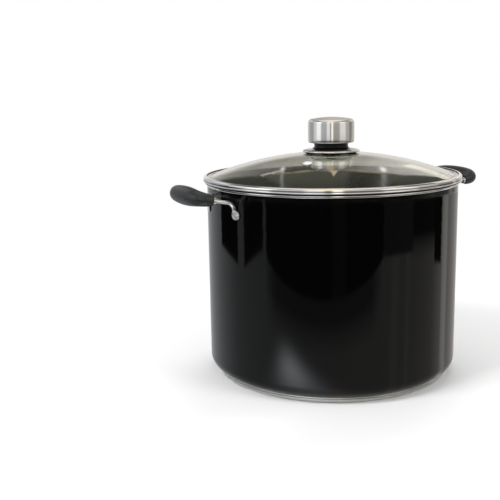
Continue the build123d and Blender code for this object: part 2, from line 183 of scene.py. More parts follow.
def marks_group():
    """Shader group: fine rings left by turning and polishing, and soft wipe marks, on Object coordinates."""
    tree, given, out = new_group(
        "turning_and_wiping", "ShaderNodeTree",
        [("Ring Scale", "Float"), ("Wipe Scale", "Float")], [("Rings", "Float"), ("Wipes", "Float")],
    )
    for name, scale in (("Ring Scale", 900.0), ("Wipe Scale", 14.0)):
        tree.interface.items_tree[name].default_value = scale
    place = tree.nodes.new("ShaderNodeTexCoord").outputs["Object"]
    parts = add_node(tree, "ShaderNodeSeparateXYZ", [(0, place)])
    flat = add_node(tree, "ShaderNodeCombineXYZ", [("X", parts.outputs["X"]), ("Y", parts.outputs["Y"])])
    reach = add_node(tree, "ShaderNodeVectorMath", [(0, flat.outputs[0])], operation="LENGTH")
    section = add_node(
        tree, "ShaderNodeCombineXYZ", [("X", reach.outputs["Value"]), ("Y", parts.outputs["Z"])]
    )
    rings = add_node(
        tree, "ShaderNodeTexNoise",
        [("Vector", section.outputs[0]), ("Scale", given.outputs["Ring Scale"]), ("Detail", 4.0)],
    )
    wipes = add_node(
        tree, "ShaderNodeTexNoise",
        [("Vector", place), ("Scale", given.outputs["Wipe Scale"]), ("Detail", 3.0), ("Distortion", 0.6)],
    )
    tree.links.new(rings.outputs["Fac"], out.inputs["Rings"])
    tree.links.new(wipes.outputs["Fac"], out.inputs["Wipes"])
    return tree


turning_and_wiping = marks_group()


def fresh_material(name):
    """A node material with its Principled shader and its marks group."""
    material = bpy.data.materials.new(name)
    material.use_nodes = True
    tree = material.node_tree
    marks = add_node(tree, "ShaderNodeGroup", node_tree=turning_and_wiping)
    return material, tree, tree.nodes["Principled BSDF"], marks


def spread(tree, value, low, high):
    """A noise value mapped from its usual middle range to low..high."""
    mapped = add_node(
        tree, "ShaderNodeMapRange",
        [("Value", value), ("From Min", 0.3), ("From Max", 0.7), ("To Min", low), ("To Max", high)],
    )
    return mapped.outputs["Result"]


def bump(tree, shader, height, distance, strength):
    """Fine relief on a shader, from a height value."""
    relief = add_node(
        tree, "ShaderNodeBump", [("Height", height), ("Distance", distance), ("Strength", strength)]
    )
    tree.links.new(relief.outputs["Normal"], shader.inputs["Normal"])


def steel(name, colour, roughness, ring_scale=900.0, relief=0.06, metallic=1.0, specular=0.5):
    """Bare stainless: turned rings in the relief, wipe marks in the roughness."""
    material, tree, shader, marks = fresh_material(name)
    marks.inputs["Ring Scale"].default_value = ring_scale
    shader.inputs["Base Color"].default_value = (*colour, 1.0)
    shader.inputs["Metallic"].default_value = metallic
    shader.inputs["Specular IOR Level"].default_value = specular
    shine = spread(tree, marks.outputs["Wipes"], roughness * 0.8, roughness * 1.3)
    tree.links.new(shine, shader.inputs["Roughness"])
    bump(tree, shader, marks.outputs["Rings"], 0.05 * mm, relief)
    return material


def enamel(name):
    """Black gloss enamel: a faint orange peel, and wipe marks that dull it a little."""
    material, tree, shader, marks = fresh_material(name)
    place = tree.nodes.new("ShaderNodeTexCoord").outputs["Object"]
    shader.inputs["Base Color"].default_value = (0.0007, 0.0007, 0.0008, 1.0)
    shader.inputs["IOR"].default_value = 1.38
    tree.links.new(spread(tree, marks.outputs["Wipes"], 0.03, 0.07), shader.inputs["Roughness"])
    peel = add_node(tree, "ShaderNodeTexNoise", [("Vector", place), ("Scale", 260.0), ("Detail", 1.0)])
    bump(tree, shader, peel.outputs["Fac"], 0.04 * mm, 0.04)
    return material


black_enamel = enamel("black_enamel")
steel_inside = steel("steel_inside", (0.36, 0.355, 0.32), 0.30, ring_scale=700.0, relief=0.20)
steel_rim = steel("steel_rim", (0.80, 0.79, 0.76), 0.16)

shell_low, shell_high = (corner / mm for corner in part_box("pot_shell"))
rim_proud = 1.2
rim_height = 3.1
rim_curl = 0.8
pot_wall = 1.0
pot_corner = 15.0
pot_radius = shell_high.x - rim_proud
pot_bore = pot_radius - pot_wall
corner_level = shell_low.z + pot_corner
rim_low = shell_high.z - rim_height
rim_round = (shell_high.x - pot_bore) / 2
rim_middle = (shell_high.x - rim_round, shell_high.z - rim_round)
shell_profile = [
    (0.0, shell_low.z),
    *arc((pot_radius - pot_corner, corner_level), pot_corner, -90, 0, 16),
    (pot_radius, rim_low),
    *arc((shell_high.x - rim_curl, rim_low + rim_curl), rim_curl, -90, 0, 5),
    *arc(rim_middle, rim_round, 0, 180, 12),
    *arc((pot_radius - pot_corner, corner_level), pot_corner - pot_wall, 0, -90, 16),
    (0.0, shell_low.z + pot_wall),
]
pot = turned("pot_body", shell_profile, black_enamel, 384)
pot.data.materials.append(steel_inside)
pot.data.materials.append(steel_rim)
rim_seam = 0.05
floor_bias = -0.02
for face in pot.data.polygons:
    outward = Vector((face.center.x, face.center.y, floor_bias))
    if face.center.z / mm > rim_low - rim_seam:
        face.material_index = 2
    elif face.normal.dot(outward) < 0:
        face.material_index = 1
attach(pot, "pot")
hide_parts("pot_shell")


# Base: an aluminium disc under the pot, closed in by a pressed stainless cap that is brazed on.
# The cap's wall shows below the enamel as a satin band, with the fine groove of its rolled edge.
steel_satin = steel("steel_satin", (0.52, 0.52, 0.50), 0.24, ring_scale=1400.0, relief=0.12)
core_grey = steel("core_aluminium", (0.74, 0.74, 0.74), 0.38)
cap_low, cap_high = (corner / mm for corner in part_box("base_cap"))
base_radius = cap_high.x
base_wall = 0.8
base_corner = 2.5
base_groove = 0.45
groove_drop = 1.7
groove_level = cap_high.z - groove_drop
base_profile = [
    (0.0, cap_low.z),
    *arc((base_radius - base_corner, cap_low.z + base_corner), base_corner, -90, 0, 8),
    (base_radius, groove_level - base_groove),
    (base_radius - base_groove, groove_level),
    (base_radius, groove_level + base_groove),
    *arc((base_radius - base_wall / 2, cap_high.z - base_wall / 2), base_wall / 2, 0, 180, 6),
    (base_radius - base_wall, base_corner),
    *arc((base_radius - base_corner, base_corner), base_corner - base_wall, 0, -90, 6),
    (0.0, base_wall),
]
base = turned("base_band", base_profile, steel_satin, 384)
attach(base, "pot")
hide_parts("base_cap")
nodes_of["base_core"].material_slots[0].material = core_grey


# Handle rods: stainless wire, bent to a bow, with its ends hammered flat and spot-welded to the pot.
# The wire is drawn bright; the feet show the dents of the press and of the welding tips.
def rod_steel():
    """Bright drawn wire, dented below the level where its feet begin."""
    material, tree, shader, marks = fresh_material("rod_steel")
    place = tree.nodes.new("ShaderNodeTexCoord").outputs["Object"]
    shader.inputs["Base Color"].default_value = (0.80, 0.795, 0.775, 1.0)
    shader.inputs["Metallic"].default_value = 1.0
    tree.links.new(spread(tree, marks.outputs["Wipes"], 0.14, 0.24), shader.inputs["Roughness"])
    level = add_node(tree, "ShaderNodeSeparateXYZ", [(0, place)]).outputs["Z"]
    foot_top = 218.0 * mm
    foot_low = 214.0 * mm
    foot = add_node(
        tree, "ShaderNodeMapRange",
        [("Value", level), ("From Min", foot_low), ("From Max", foot_top), ("To Min", 1.0), ("To Max", 0.12)],
    )
    dents = add_node(tree, "ShaderNodeTexNoise", [("Vector", place), ("Scale", 330.0), ("Detail", 1.5)])
    depth = reckon(tree, "MULTIPLY", dents.outputs["Fac"], foot.outputs["Result"])
    bump(tree, shader, depth, 1.2 * mm, 0.55)
    return material


wire_steel = rod_steel()
for side in ("left", "right"):
    nodes_of["handle_rod_" + side].material_slots[0].material = wire_steel


# Handle grips: dark grey heat-proof rubber, moulded over the bow of each wire so that it stays cool.
# The moulding has a fine satin texture, and steel collars close its two ends.
def grip_rubber():
    """Dark rubber, a little uneven in tone, with the fine grain of its mould."""
    material, tree, shader, marks = fresh_material("grip_rubber")
    place = tree.nodes.new("ShaderNodeTexCoord").outputs["Object"]
    tone = add_node(tree, "ShaderNodeMix", data_type="RGBA")
    tone.inputs["A"].default_value = (0.009, 0.010, 0.011, 1.0)
    tone.inputs["B"].default_value = (0.014, 0.015, 0.016, 1.0)
    tree.links.new(marks.outputs["Wipes"], tone.inputs["Factor"])
    tree.links.new(tone.outputs["Result"], shader.inputs["Base Color"])
    tree.links.new(spread(tree, marks.outputs["Wipes"], 0.34, 0.44), shader.inputs["Roughness"])
    grain = add_node(tree, "ShaderNodeTexNoise", [("Vector", place), ("Scale", 2600.0), ("Detail", 2.0)])
    bump(tree, shader, grain.outputs["Fac"], 0.05 * mm, 0.25)
    return material


dark_rubber = grip_rubber()
collar_steel = steel("collar_steel", (0.58, 0.575, 0.56), 0.22)
for side in ("left", "right"):
    nodes_of["handle_grip_" + side].material_slots[0].material = dark_rubber
    nodes_of["grip_ferrules_" + side].material_slots[0].material = collar_steel


# Lid glass: tempered soda-lime glass, sagged to a shallow dome over a mould, with a flat edge.
# It is bored for the knob's screw and for the steam vent, so the CAD solid carries its shape.
def lid_clear():
    """Clear glass with a faint olive tint and a few wipe marks."""
    material, tree, shader, marks = fresh_material("lid_clear")
    shader.inputs["Base Color"].default_value = (0.86, 0.87, 0.80, 1.0)
    shader.inputs["Transmission Weight"].default_value = 1.0
    shader.inputs["IOR"].default_value = 1.50
    tree.links.new(spread(tree, marks.outputs["Wipes"], 0.0, 0.02), shader.inputs["Roughness"])
    return material


nodes_of["lid_glass"].material_slots[0].material = lid_clear()


# Lid band: a strip of stainless, rolled to a channel that grips the edge of the glass and is butt-welded.
# It has a polished bead on top, a brushed waist and a small flare; its inner skirt drops into the mouth of
# the pot. The waist is painted darker as shade, and the recess under the flare and the lip's inner edge are
# painted a dull near-black as shade.
def polished_band():
    """Polished strip with the fine upright line of its butt seam."""
    material, tree, shader, marks = fresh_material("band_polished")
    marks.inputs["Ring Scale"].default_value = 1300.0
    place = tree.nodes.new("ShaderNodeTexCoord").outputs["Object"]
    shader.inputs["Base Color"].default_value = (0.80, 0.79, 0.77, 1.0)
    shader.inputs["Metallic"].default_value = 1.0
    tree.links.new(spread(tree, marks.outputs["Wipes"], 0.06, 0.12), shader.inputs["Roughness"])
    seam_turn = math.radians(-168.0)
    seam_place = add_node(
        tree, "ShaderNodeMapping", [("Vector", place), ("Rotation", (0.0, 0.0, -seam_turn))]
    )
    parts = add_node(tree, "ShaderNodeSeparateXYZ", [(0, seam_place.outputs[0])])
    aside = reckon(tree, "ABSOLUTE", parts.outputs["Y"])
    apart = add_node(
        tree, "ShaderNodeMapRange", [("Value", aside), ("From Min", 0.10 * mm), ("From Max", 0.45 * mm)]
    )
    other_side = reckon(tree, "LESS_THAN", parts.outputs["X"], 0.0)
    level = reckon(tree, "MAXIMUM", apart.outputs["Result"], other_side)
    height = reckon(tree, "MULTIPLY_ADD", marks.outputs["Rings"], 0.06, level)
    bump(tree, shader, height, 0.30 * mm, 0.5)
    return material


band_polished = polished_band()
# Painted shade: a dull near-black, not metal, for the recess under the flare and the lip's inner edge.
band_painted_shade = steel("band_painted_shade", (0.012, 0.012, 0.012), 0.6, relief=0.2, metallic=0.0, specular=0.1)
# Painted shade: the brushed waist's steel is much darker than the bead's.
band_brushed_shaded = steel("band_brushed_shaded", (0.26, 0.255, 0.245), 0.13, ring_scale=1300.0, relief=0.15)
band_low, band_high = (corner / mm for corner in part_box("lid_band"))
glass_low, glass_high = (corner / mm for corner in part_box("lid_glass"))
band_radius = band_high.x
band_top = band_high.z
under_drop = 1.3
seat_drop = 2.8
bead_round = 3.0
flare_height = 1.6
flare_share = 0.4
waist_depth = 0.5
waist_share = 0.3
band_round = 0.5
recess_depth = 1.8
lip_width = 4.8
lip = 0.7
skirt_gap = 0.8
skirt_wall = 0.8
slot_gap = 0.2
slot_seat = 0.05
lip_edge = band_radius - lip_width
lip_low = band_top - lip
band_under = glass_low.z - under_drop
band_seat = glass_low.z - seat_drop
skirt_radius = pot_bore - skirt_gap
skirt_bore = skirt_radius - skirt_wall
slot_radius = glass_high.x + slot_gap
slot_low = glass_low.z - slot_seat
step_radius = band_radius - recess_depth
waist_radius = band_radius - waist_depth
waist_top = band_top - bead_round
flare_top = band_under + flare_height
band_profile = [
    (lip_edge, lip_low),
    *arc((lip_edge + lip / 2, band_top - lip / 2), lip / 2, 180, 90, 4),
    *arc((waist_radius - bead_round, waist_top), bead_round, 90, 0, 8),
    (waist_radius, flare_top),
    (waist_radius + waist_depth * waist_share, flare_top - flare_height * flare_share),
    *arc((band_radius - band_round, band_under + band_round), band_round, 20, -90, 6),
    (step_radius, band_under),
    (step_radius, band_seat),
    (skirt_radius, band_seat),
    (skirt_radius, band_low.z),
    (skirt_bore, band_low.z),
    (skirt_bore, slot_low),
    (slot_radius, slot_low),
    (slot_radius, lip_low),
    (lip_edge, lip_low),
]
band = turned("band_channel", band_profile, band_polished, 384)
band.data.materials.append(band_painted_shade)
band.data.materials.append(band_brushed_shaded)
seam = 0.1
for face in band.data.polygons:
    reach = math.hypot(face.center.x, face.center.y) / mm
    level = face.center.z / mm
    # Painted shade: the recess and the lip's inner edge take the near-black colour, and the waist the
    # darkened steel.
    recess = level < band_under + seam and reach > skirt_radius + seam
    if recess or abs(reach - lip_edge) < seam:
        face.material_index = 1
    elif flare_top < level < waist_top and reach > waist_radius - seam:
        face.material_index = 2
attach(band, "lid")
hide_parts("lid_band")


# Steam vent: a small eyelet of bright steel in a bored hole near the knob, that lets the steam out.
# It is pressed from sheet, pushed through the glass and rolled over against both faces.
vent_bright = steel("vent_bright", (0.93, 0.93, 0.93), 0.30, metallic=0.4)
nodes_of["vent_eyelet"].material_slots[0].material = vent_bright


# Knob: a drawn stainless cup over a black phenolic core with a waisted neck, on a pressed steel saucer.
# A silicone gasket beds the saucer on the glass; a screw from below holds it all, on a washer and a gasket.
knob_steel = steel("knob_steel", (0.74, 0.73, 0.705), 0.15, ring_scale=1500.0, relief=0.06)
# The crown's spun steel is rougher than the barrel's, which is real; its lighter colour is painted light on
# the top of the cup.
knob_spun_lightened = steel("knob_spun_lightened", (0.92, 0.91, 0.89), 0.40, ring_scale=1500.0, relief=0.10)
cup_low, cup_high = (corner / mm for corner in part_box("knob_cap"))
cup_radius = cup_high.x
cup_drop = 1.2
cup_bulge = 0.1
cup_wall = 0.8
cup_curl = 2.5
cup_shoulder = 4.6
cup_crown = 125.0
cup_side = cup_radius - cup_bulge
crown_reach = cup_crown - cup_shoulder
crown_turn = math.degrees(math.asin((cup_side - cup_shoulder) / crown_reach))
crown_centre = (0.0, cup_high.z - cup_crown)
shoulder_level = crown_centre[1] + crown_reach * math.cos(math.radians(crown_turn))
shoulder_centre = (cup_side - cup_shoulder, shoulder_level)
curl_centre = (cup_side - cup_curl, cup_low.z - cup_drop + cup_curl)
side_count = 8
side_steps = [i / side_count for i in range(1, side_count)]


def cup_line(inset, reverse):
    """One face of the cup, from the crown down to the curled edge, set in by the wall."""
    line = arc(crown_centre, cup_crown - inset, 90, 90 - crown_turn, 10)
    line += arc(shoulder_centre, cup_shoulder - inset, 90 - crown_turn, 0, 8)
    drop = shoulder_level - curl_centre[1]
    bulge = [cup_bulge * 4 * s * (1 - s) for s in side_steps]
    line += [(cup_side - inset + b, shoulder_level - drop * s) for s, b in zip(side_steps, bulge)]
    line += arc(curl_centre, cup_curl - inset, 0, -90, 8)
    return line[::-1] if reverse else line


knob_cup = turned("knob_cup", cup_line(0.0, False) + cup_line(cup_wall, True), knob_steel, 192)
knob_cup.data.materials.append(knob_spun_lightened)
spun_share = 0.6
# Painted light: faces above the shoulder take the lighter spun steel.
for face in knob_cup.data.polygons:
    if face.center.z / mm > shoulder_level + cup_shoulder * spun_share:
        face.material_index = 1
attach(knob_cup, "lid")
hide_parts("knob_cap")

saucer_low, saucer_high = (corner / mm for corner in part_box("knob_flange"))
gasket_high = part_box("knob_gasket_upper")[1] / mm
saucer_bore = 10.5
hub_radius = 23.0
edge_lift = 1.5
edge_round = 1.4
bed_gap = 0.1
edge_low = saucer_low.z + edge_lift
saucer_run = saucer_high.x - hub_radius
saucer_rise = saucer_high.z - edge_low
bow_turns = [math.radians(turn) for turn in range(90, 0, -5)]
saucer_profile = [
    (saucer_bore, saucer_high.z),
    *[(hub_radius + saucer_run * math.cos(t), edge_low + saucer_rise * math.sin(t)) for t in bow_turns],
    *arc((saucer_high.x - edge_round, edge_low), edge_round, -5, -80, 6),
    (gasket_high.x, saucer_low.z + bed_gap),
    (saucer_bore, gasket_high.z + bed_gap),
    (saucer_bore, saucer_high.z),
]
saucer_steel = steel("saucer_steel", (0.88, 0.86, 0.82), 0.24, ring_scale=1500.0, relief=0.06)
knob_saucer = turned("knob_saucer", saucer_profile, saucer_steel, 192)
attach(knob_saucer, "lid")
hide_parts("knob_flange")
nodes_of["knob_washer"].material_slots[0].material = collar_steel
nodes_of["knob_screw"].material_slots[0].material = collar_steel


def moulded_black(name, level, roughness):
    """Black moulding of low shine, for the core of the knob and its gaskets."""
    material, tree, shader, marks = fresh_material(name)
    shader.inputs["Base Color"].default_value = (level, level, level, 1.0)
    shader.inputs["Specular IOR Level"].default_value = 0.2
    shine = spread(tree, marks.outputs["Wipes"], roughness * 0.85, roughness * 1.2)
    tree.links.new(shine, shader.inputs["Roughness"])
    bump(tree, shader, marks.outputs["Rings"], 0.02 * mm, 0.03)
    return material


knob_black = moulded_black("knob_black", 0.003, 0.30)
seal_black = moulded_black("seal_black", 0.014, 0.50)
nodes_of["knob_body"].material_slots[0].material = knob_black
nodes_of["knob_gasket_upper"].material_slots[0].material = seal_black
nodes_of["knob_gasket_lower"].material_slots[0].material = seal_black
nodes_of["knob_insert"].material_slots[0].material = steel("bush_brass", (0.72, 0.52, 0.24), 0.25)


# Jar rack: plated steel wire. Straight deck wires lie across a ring, two stays run under them, and four bent
# loops stand on the floor of the pot as legs. All of it is spot-welded, and lifts out as one.
def wire_tree():
    """Geometry Nodes: routes of straight edges, bent to a radius and drawn as round wire."""
    tree, given, out = new_group(
        "bent_wire", "GeometryNodeTree",
        [("Route", "Geometry"), ("Wire Radius", "Float"), ("Bend Radius", "Float"), ("Material", "Material")],
        [("Wire", "Geometry")],
    )
    route = add_node(tree, "GeometryNodeMeshToCurve", [("Mesh", given.outputs["Route"])])
    bent = add_node(
        tree, "GeometryNodeFilletCurve",
        [("Curve", route.outputs[0]), ("Radius", given.outputs["Bend Radius"]), ("Count", 6)], mode="POLY",
    )
    ring = add_node(
        tree, "GeometryNodeCurvePrimitiveCircle",
        [("Resolution", 20), ("Radius", given.outputs["Wire Radius"])],
    )
    drawn = add_node(
        tree, "GeometryNodeCurveToMesh",
        [("Curve", bent.outputs[0]), ("Profile Curve", ring.outputs[0]), ("Fill Caps", True)],
    )
    end_tree(tree, drawn.outputs[0], given.outputs["Material"], out)
    return tree


def weld_tree():
    """Geometry Nodes: a small flattened bead of weld on every point."""
    tree, given, out = new_group(
        "weld_beads", "GeometryNodeTree",
        [("Points", "Geometry"), ("Bead Radius", "Float"), ("Material", "Material")], [("Beads", "Geometry")],
    )
    ball = add_node(
        tree, "GeometryNodeMeshIcoSphere", [("Radius", given.outputs["Bead Radius"]), ("Subdivisions", 3)]
    )
    flat = (1.0, 1.0, 0.55)
    placed = add_node(
        tree, "GeometryNodeInstanceOnPoints",
        [("Points", given.outputs["Points"]), ("Instance", ball.outputs["Mesh"]), ("Scale", flat)],
    )
    end_tree(tree, placed.outputs[0], given.outputs["Material"], out)
    return tree


bent_wire = wire_tree()
weld_beads = weld_tree()
rack_bright = steel("rack_bright", (0.60, 0.60, 0.59), 0.15, relief=0.03)
weld_grey = steel("weld_grey", (0.34, 0.33, 0.31), 0.34, relief=0.2)


def rack_wires(name, routes, wire, bend, node):
    """Wires of one kind, along closed or open routes of points in mm."""
    points = []
    edges = []
    for route, closed in routes:
        first = len(points)
        points += [(x * mm, y * mm, z * mm) for x, y, z in route]
        edges += [(first + i, first + i + 1) for i in range(len(route) - 1)]
        if closed:
            edges.append((len(points) - 1, first))
    mesh = bpy.data.meshes.new(name)
    mesh.from_pydata(points, edges, [])
    sizes = {"Wire Radius": wire / 2 * mm, "Bend Radius": bend * mm, "Material": rack_bright}
    piece = run_tree(name, mesh, bent_wire, sizes)
    face_outward(piece, crease=60.0)
    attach(piece, "rack")
    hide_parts(node)


rim_box_low, rim_box_high = (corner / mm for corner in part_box("rack_rim"))
ring_wire = 5.0
ring_radius = rim_box_high.x - ring_wire / 2
ring_level = (rim_box_low.z + rim_box_high.z) / 2
ring_points = 180
ring_turns = [math.tau * i / ring_points for i in range(ring_points)]
ring_route = [(ring_radius * math.cos(t), ring_radius * math.sin(t), ring_level) for t in ring_turns]
rack_wires("rack_ring", [(ring_route, True)], ring_wire, 0.0, "rack_rim")

deck_low, deck_high = (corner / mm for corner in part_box("rack_deck"))
deck_wire = 3.6
deck_pitch = 27.0
deck_rows = range(-4, 5)
deck_level = (deck_low.z + deck_high.z) / 2
deck_halves = {row: math.sqrt(ring_radius ** 2 - (row * deck_pitch) ** 2) for row in deck_rows}
deck_routes = [
    ([(side * deck_halves[row], row * deck_pitch, deck_level) for side in (-1, 1)], False)
    for row in deck_rows
]
rack_wires("rack_deck_wires", deck_routes, deck_wire, 0.0, "rack_deck")

stay_low, stay_high = (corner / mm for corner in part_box("rack_stays"))
stay_x = stay_high.x - ring_wire / 2
stay_routes = [
    ([(side * stay_x, stay_low.y, ring_level), (side * stay_x, stay_high.y, ring_level)], False)
    for side in (-1, 1)
]
rack_wires("rack_stay_wires", stay_routes, ring_wire, 0.0, "rack_stays")

leg_wire = 4.0
leg_half = 18.0
leg_corner = 7.0
leg_row = math.sqrt((ring_radius - ring_wire / 2 - leg_wire / 2) ** 2 - leg_half ** 2)
leg_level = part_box("rack_legs")[0].z / mm + leg_wire / 2
leg_routes = []
leg_tops = []
for quarter in (45.0, 135.0, 225.0, 315.0):
    loop = Matrix.Rotation(math.radians(quarter), 3, "Z")
    corners = [
        (leg_row, -leg_half, ring_level), (leg_row, -leg_half, leg_level),
        (leg_row, leg_half, leg_level), (leg_row, leg_half, ring_level),
    ]
    leg_routes.append(([loop @ Vector(corner) for corner in corners], False))
    leg_tops += [leg_routes[-1][0][0], leg_routes[-1][0][-1]]
rack_wires("rack_leg_loops", leg_routes, leg_wire, leg_corner, "rack_legs")

bead = 2.3
deck_inset = 0.8
stay_inset = 0.5
leg_outset = 1.012
touch_level = deck_level - deck_wire / 2
weld_points = []
for row in deck_rows:
    deck_end = deck_halves[row] - deck_inset
    weld_points += [(side * deck_end, row * deck_pitch, touch_level) for side in (-1, 1)]
    weld_points += [(side * stay_x, row * deck_pitch, touch_level) for side in (-1, 1)]
stay_end = stay_high.y - stay_inset
weld_points += [(sx * stay_x, sy * stay_end, ring_level) for sx in (-1, 1) for sy in (-1, 1)]
weld_points += [(top.x * leg_outset, top.y * leg_outset, ring_level) for top in leg_tops]
weld_mesh = bpy.data.meshes.new("rack_welds")
weld_mesh.from_pydata([(x * mm, y * mm, z * mm) for x, y, z in weld_points], [], [])
welds = run_tree("rack_welds", weld_mesh, weld_beads, {"Bead Radius": bead * mm, "Material": weld_grey})
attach(welds, "rack")


# Studio: a plain pale floor and a white surround, with soft lamps. Around them stands a room that only
# polished surfaces and glass see: a table, a bright back wall, a dim ceiling, and walls of soft strips.
view_turn = math.radians(-32.0)


def front(distance, turn, height):
    """A point at a distance from the pot's axis, turned in degrees from the camera's side."""
    way = view_turn + math.radians(turn)
    return (distance * math.sin(way), -distance * math.cos(way), height)


def blend(stops, place):
    """A value from (place, value) stops, with straight lines between them."""
    for (low, before), (high, after) in zip(stops, stops[1:]):
        if place <= high:
            return before + (after - before) * max(0.0, (place - low) / (high - low))
    return stops[-1][1]


def stage_object(name, points, faces, material):
    """A mesh that belongs to the stage."""
    mesh = bpy.data.meshes.new(name)
    mesh.from_pydata(points, [], faces)
    item = bpy.data.objects.new(name, mesh)
    item.data.materials.append(material)
    bpy.context.scene.collection.objects.link(item)
    return item


def seen_directly(tree):
    """1 for the rays of the camera, of polished surfaces and of glass, and 0 for soft light."""
    ray = tree.nodes.new("ShaderNodeLightPath")
    shown = reckon(tree, "MAXIMUM", ray.outputs["Is Camera Ray"], ray.outputs["Is Glossy Ray"])
    return reckon(tree, "MAXIMUM", shown, ray.outputs["Is Transmission Ray"])


def pale_floor():
    """Pale board with the object's shadow, that goes over to plain white far from the object."""
    material = bpy.data.materials.new("pale_floor")
    material.use_nodes = True
    tree = material.node_tree
    shader = tree.nodes["Principled BSDF"]
    shader.inputs["Base Color"].default_value = (0.93, 0.93, 0.93, 1.0)
    shader.inputs["Roughness"].default_value = 0.9
    place = tree.nodes.new("ShaderNodeTexCoord").outputs["Object"]
    reach = add_node(tree, "ShaderNodeVectorMath", [(0, place)], operation="LENGTH").outputs["Value"]
    far = add_node(tree, "ShaderNodeMapRange", [("Value", reach), ("From Min", 0.30), ("From Max", 0.75)])
    share = reckon(tree, "MULTIPLY", far.outputs["Result"], seen_directly(tree))
    white = add_node(tree, "ShaderNodeEmission", [("Color", (1.0, 1.0, 1.0, 1.0)), ("Strength", 1.0)])
    mixed = add_node(tree, "ShaderNodeMixShader", [(0, share)])
    tree.links.new(shader.outputs[0], mixed.inputs[1])
    tree.links.new(white.outputs[0], mixed.inputs[2])
    tree.links.new(mixed.outputs[0], tree.nodes["Material Output"].inputs["Surface"])
    return material


floor_reach = 8.0
floor_corners = 96
floor_points = [front(floor_reach, 360 * i / floor_corners, 0.0) for i in range(floor_corners)]
stage_object("floor", floor_points, [list(range(floor_corners))], pale_floor())

# The room that polished surfaces and glass reflect, by the turn from the camera's side (0) to the back (180).
# The pot stands on a pale table with a straight front edge; dark gaps stand between the pale panels beyond.
tint_left = (0.95, 0.975, 1.0)
tint_right = (1.0, 0.965, 0.92)
tint_warm = (1.0, 0.83, 0.53)
tint_window = (1.0, 0.94, 0.82)
tint_streak = (0.88, 0.95, 1.0)
tint_ceiling = (0.97, 1.0, 0.84)
dark = 0.012
table_edge = 0.625
table_turn = -6.0
edge_blur = 0.015
shade_near = 0.13
shade_far = 0.30
table_glow = (
    (-180, 0.90), (-160, 0.62), (-130, 0.62), (-108, 0.56), (-94, 0.46), (-65, 0.46), (0, 0.40), (54, 0.44),
    (57, 0.54), (61, 0.54), (64, 0.44), (69, 0.44), (71, 0.54), (73, 0.54), (76, 0.44), (102, 0.44),
    (112, 0.60), (117, 0.62), (119, 1.10), (126, 1.10), (130, 0.55), (160, 0.60), (180, 0.90),
)
dark_gaps = (
    (-119, -93, 0.98, 0.82, 0.02, dark),
    (-85, -63, 0.81, 1.02, 0.02, dark),
    (47, 77, 0.96, 0.98, 0.02, 0.10),
    (77, 105, 1.05, 1.05, 0.15, 0.03),
    (105, 116, 0.83, 0.80, 0.02, dark),
)
front_gap = (-60, 47)
gap_in = (-64, -52)
gap_out = (37, 47)
table_end = 9.0
edge_shade = 0.3
sight_lift = 4
sight_rounds = 3
front_strip = (2, 14)
front_strip_glow = 0.05
pot_reach = 0.155
lamp_side = -0.105
lamp_ahead = 0.235
lamp_lean = math.radians(145.0)
lamp_long = 0.09
lamp_wide = 0.038
lamp_glow = 3.2


def rise(value, start, end):
    """0 up to start, 1 from end on, and a straight line between."""
    return min(1.0, max(0.0, (value - start) / (end - start)))


def table_light(turn, reach):
    """Light from the table, the gaps and panels beyond its edge, and a lamp mirrored in the table top."""
    bearing = turn
    for _ in range(sight_rounds):
        sight = math.sin(math.radians(abs(bearing) / 2 + sight_lift)) * pot_reach / max(reach, pot_reach)
        bearing = turn + math.copysign(math.degrees(math.asin(min(1.0, sight))), turn)
    end = table_end
    blur = edge_blur
    beyond = dark
    level = blend(table_glow, bearing)
    if front_gap[0] < bearing < front_gap[1]:
        lean = math.cos(math.radians(turn - table_turn))
        end = table_edge / lean
        shade = edge_shade + (1 - edge_shade) * rise(table_edge - reach * lean, shade_near, shade_far)
        inside = rise(bearing, *gap_in) * (1 - rise(bearing, *gap_out))
        level *= 1 - inside * (1 - shade)
        if front_strip[0] < bearing < front_strip[1]:
            beyond = front_strip_glow
    for start, stop, near, far, gap_blur, gap_level in dark_gaps:
        if start < bearing < stop:
            end = near + (far - near) * (bearing - start) / (stop - start)
            blur = gap_blur
            beyond = gap_level
    level = beyond + (level - beyond) * (1 - rise(reach, end - blur, end + blur))
    aside = reach * math.sin(math.radians(turn)) - lamp_side
    ahead = reach * math.cos(math.radians(turn)) - lamp_ahead
    along = aside * math.cos(lamp_lean) + ahead * math.sin(lamp_lean)
    across = ahead * math.cos(lamp_lean) - aside * math.sin(lamp_lean)
    level += lamp_glow * math.exp(-((along / lamp_long) ** 2) - (across / lamp_wide) ** 2)
    return level, tint_left if turn < 0 else tint_right


wall_glow = (
    (-152, 0.60), (-129, 0.60), (-126, 0.42), (-97, 0.42), (-94, 0.75), (-77, 0.80), (-74, 1.25),
    (-53, 1.25), (-49, 0.55), (-23, 0.50), (-20, 1.00), (-6, 1.00), (-4, 0.25), (0, 0.25), (2, 1.50),
    (8, 1.50), (11, 0.42), (41, 0.46), (45, 0.95), (74, 0.95), (77, 0.50), (98, 0.50), (101, 0.28),
    (122, 0.28), (125, 0.66), (131, 0.66), (133, 0.40), (138, 0.40), (141, 0.66), (152, 0.66),
)
back_glow = (
    (-28, 0.85), (-21, 0.60), (-18, 0.42), (-14, 0.30), (-8, 0.28), (-4, 0.32), (0, 0.38), (6, 0.36),
    (8, 0.55), (11, 0.68), (14, 0.95), (28, 1.10),
)
back_top = ((0, 1.55), (10, 1.50), (14, 1.38), (17, 1.28), (19, 1.05), (21, 0.80), (28, 0.75))
ceiling_glow = (
    (-28, 0.10), (-17, 0.12), (-15, 0.24), (-13, 0.20), (4, 0.20), (6, 0.10), (12, 0.11), (14, 0.20),
    (16, 0.22), (18, 0.16), (28, 0.10),
)
back_windows = ((13.0, 21.0, 0.68, 0.88, 1.45), (-16.5, -11.0, 1.26, 1.32, 1.3))
